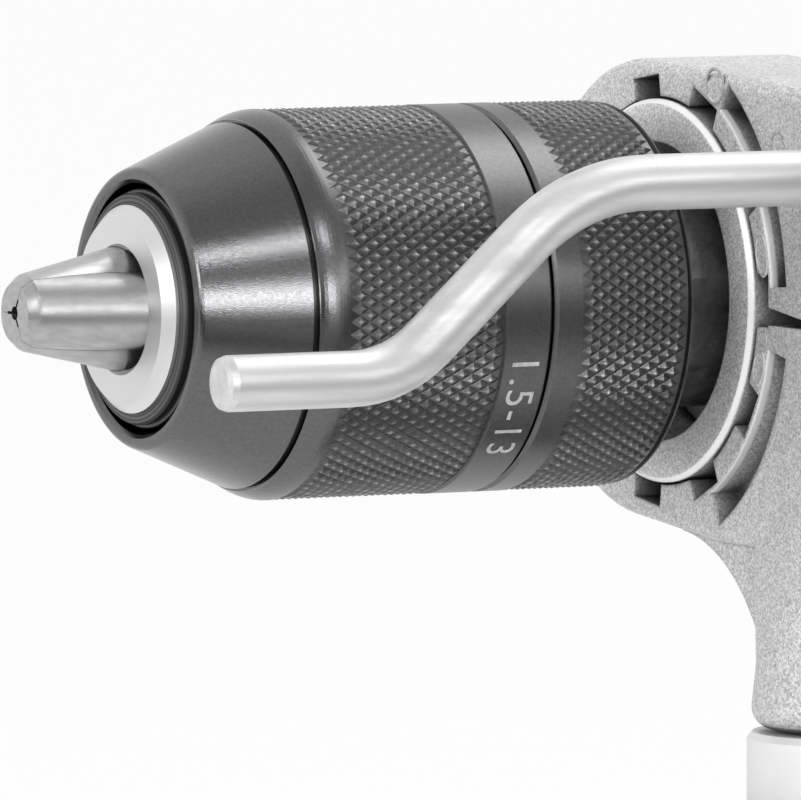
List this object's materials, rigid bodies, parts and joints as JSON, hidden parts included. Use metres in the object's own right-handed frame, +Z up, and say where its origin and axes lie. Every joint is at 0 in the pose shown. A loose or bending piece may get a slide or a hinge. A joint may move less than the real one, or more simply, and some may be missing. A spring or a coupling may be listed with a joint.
{
  "type": "hammer drill",
  "caption": "Corded hammer drill with a keyless two-sleeve chuck, a clamp-on side handle and a cranked depth rod",
  "frame": {"origin": "on the spindle axis, at the front of the closed jaws", "axes": "+X runs back along the spindle to the motor, +Z is up, -Y is the side of the depth rod"},
  "size_m": [0.282, 0.0919, 0.1999],
  "materials": {
    "jaw_steel": "ground, satin",
    "chuck_steel": "turned, satin",
    "black_rubber": "matt",
    "sleeve_metal": "dark satin with a fine cross knurl",
    "tool_steel": "ground and oiled",
    "bearing_steel": "polished",
    "black_screw": "black oxide",
    "dark_steel": "dark, oiled, turned",
    "spring_steel": "pressed and tempered",
    "bronze": "sintered",
    "cast_alloy": "die cast, fine blasted",
    "plain_alloy": "die cast",
    "core_steel": "laminated",
    "copper_wire": "lacquered copper wire",
    "commutator_copper": "turned copper",
    "inner_plastic": "moulded",
    "brush_brass": "pressed",
    "carbon": "sooty",
    "black_plastic": "fine grain",
    "housing_plastic": "fine spark grain",
    "trigger_plastic": "smooth",
    "gland_rubber": "matt",
    "clamp_casting": "silver, coarse cast grain",
    "pin_steel": "plain",
    "ferrule_metal": "smooth, light",
    "grip_rubber": "matt, moulded",
    "bright_rod": "plated, drawn"
  },
  "bodies": {
    "tool": {"gear_case": "cast_alloy", "gear_plate": "plain_alloy", "bearing_bracket": "plain_alloy", "rear_bush": "bronze", "fixed_ratchet": "tool_steel", "motor_front_bearing": "bearing_steel", "motor_rear_bearing": "bearing_steel", "stator_core": "core_steel", "field_coils": "copper_wire", "brush_holders": "brush_brass", "carbon_brushes": "carbon", "brush_caps": "black_plastic", "left_shell": "housing_plastic", "right_shell": "housing_plastic", "shell_screws": "black_screw", "case_screws": "black_screw", "switch_body": "inner_plastic", "cord_gland": "gland_rubber"},
    "spindle_carrier": {"front_bearing": "bearing_steel", "hammer_spring": "spring_steel"},
    "spindle": {"spindle": "dark_steel", "spindle_gear": "tool_steel", "turning_ratchet": "tool_steel", "chuck_body": "chuck_steel", "rear_sleeve": "sleeve_metal", "chuck_screw": "black_screw", "dust_ring": "black_rubber"},
    "front_sleeve": {"front_sleeve": "sleeve_metal", "split_nut": "tool_steel", "thrust_balls": "bearing_steel"},
    "jaw_1": {"jaw_1": "jaw_steel"},
    "jaw_2": {"jaw_2": "jaw_steel"},
    "jaw_3": {"jaw_3": "jaw_steel"},
    "intermediate": {"intermediate_shaft": "tool_steel", "intermediate_gear": "tool_steel"},
    "armature": {"armature_shaft": "tool_steel", "armature_core": "core_steel", "armature_windings": "copper_wire", "commutator": "commutator_copper", "fan": "inner_plastic"},
    "trigger": {"trigger": "trigger_plastic"},
    "speed_dial": {"speed_dial": "black_plastic"},
    "lock_button": {"lock_button": "black_plastic"},
    "reverse_lever": {"reverse_lever": "black_plastic"},
    "mode_selector": {"mode_selector": "black_plastic"},
    "side_handle": {"lower_jaw": "clamp_casting", "hinge_pin": "pin_steel"},
    "upper_jaw": {"upper_jaw": "clamp_casting", "clamp_nut": "pin_steel"},
    "handle_grip": {"handle_grip": "grip_rubber", "handle_ferrule": "ferrule_metal", "handle_bolt": "pin_steel"},
    "depth_rod": {"depth_rod": "bright_rod"},
    "rod_screw": {"rod_screw": "black_plastic"}
  },
  "joints": [
    {"name": "spindle_float", "type": "slide", "parent": "tool", "child": "spindle_carrier", "axis": [1, 0, 0], "range_m": [0, 0.0012], "stiffness_N_per_m": 4000, "springref_m": -0.003},
    {"name": "spindle_spin", "type": "hinge", "parent": "spindle_carrier", "child": "spindle", "pos_m": [0.09, 0, 0], "axis": [1, 0, 0], "continuous": true},
    {"name": "sleeve_turn", "type": "hinge", "parent": "spindle", "child": "front_sleeve", "pos_m": [0.04, 0, 0], "axis": [1, 0, 0], "range_deg": [0, 5040]},
    {"name": "jaw_1_slide", "type": "slide", "parent": "spindle", "child": "jaw_1", "axis": [0.9703, -0.2419, 0], "range_m": [0, 0.026]},
    {"name": "jaw_2_slide", "type": "slide", "parent": "spindle", "child": "jaw_2", "axis": [0.9703, 0.121, -0.2095], "range_m": [0, 0.026]},
    {"name": "jaw_3_slide", "type": "slide", "parent": "spindle", "child": "jaw_3", "axis": [0.9703, 0.121, 0.2095], "range_m": [0, 0.026]},
    {"name": "intermediate_spin", "type": "hinge", "parent": "tool", "child": "intermediate", "pos_m": [0.13, 0, -0.022], "axis": [1, 0, 0], "continuous": true},
    {"name": "armature_spin", "type": "hinge", "parent": "tool", "child": "armature", "pos_m": [0.2, 0, -0.0064], "axis": [1, 0, 0], "continuous": true},
    {"name": "trigger_pull", "type": "slide", "parent": "tool", "child": "trigger", "axis": [1, 0, 0], "range_m": [0, 0.008], "stiffness_N_per_m": 250, "springref_m": -0.006},
    {"name": "speed_dial_turn", "type": "hinge", "parent": "trigger", "child": "speed_dial", "pos_m": [0.2025, 0, -0.054], "axis": [1, 0, 0], "range_deg": [-150, 150]},
    {"name": "lock_press", "type": "slide", "parent": "tool", "child": "lock_button", "axis": [0, 1, 0], "range_m": [0, 0.003], "stiffness_N_per_m": 250, "springref_m": -0.003},
    {"name": "reverse_swing", "type": "hinge", "parent": "tool", "child": "reverse_lever", "pos_m": [0.222, 0, -0.0434], "axis": [0, 0, 1], "range_deg": [-15, 15]},
    {"name": "mode_turn", "type": "hinge", "parent": "tool", "child": "mode_selector", "pos_m": [0.1239, 0, 0.03], "axis": [0, 0, 1], "range_deg": [0, 90]},
    {"name": "handle_swing", "type": "hinge", "parent": "tool", "child": "side_handle", "pos_m": [0.0903, 0, 0], "axis": [-1, 0, 0], "range_deg": [-30, 165]},
    {"name": "clamp_open", "type": "hinge", "parent": "side_handle", "child": "upper_jaw", "pos_m": [0.0903, 0.0263, 0], "axis": [-1, 0, 0], "range_deg": [0, 2]},
    {"name": "grip_twist", "type": "hinge", "parent": "side_handle", "child": "handle_grip", "pos_m": [0.0903, -0.027, -0.1], "axis": [0, 0, 1], "range_deg": [0, 720]},
    {"name": "rod_slide", "type": "slide", "parent": "upper_jaw", "child": "depth_rod", "axis": [1, 0, 0], "range_m": [-0.085, 0.022]},
    {"name": "rod_screw_turn", "type": "hinge", "parent": "upper_jaw", "child": "rod_screw", "pos_m": [0.0903, -0.05, 0.0146], "axis": [0, -1, 0], "range_deg": [-720, 0]}
  ],
  "couplings": [
    {"joint": "jaw_1_slide", "follows": "sleeve_turn", "m_per_rad": 0.00029554},
    {"joint": "jaw_2_slide", "follows": "sleeve_turn", "m_per_rad": 0.00029554},
    {"joint": "jaw_3_slide", "follows": "sleeve_turn", "m_per_rad": 0.00029554},
    {"joint": "intermediate_spin", "follows": "spindle_spin", "ratio": -3.4},
    {"joint": "armature_spin", "follows": "spindle_spin", "ratio": 13.175},
    {"joint": "clamp_open", "follows": "grip_twist", "ratio": 0.0027775}
  ]
}
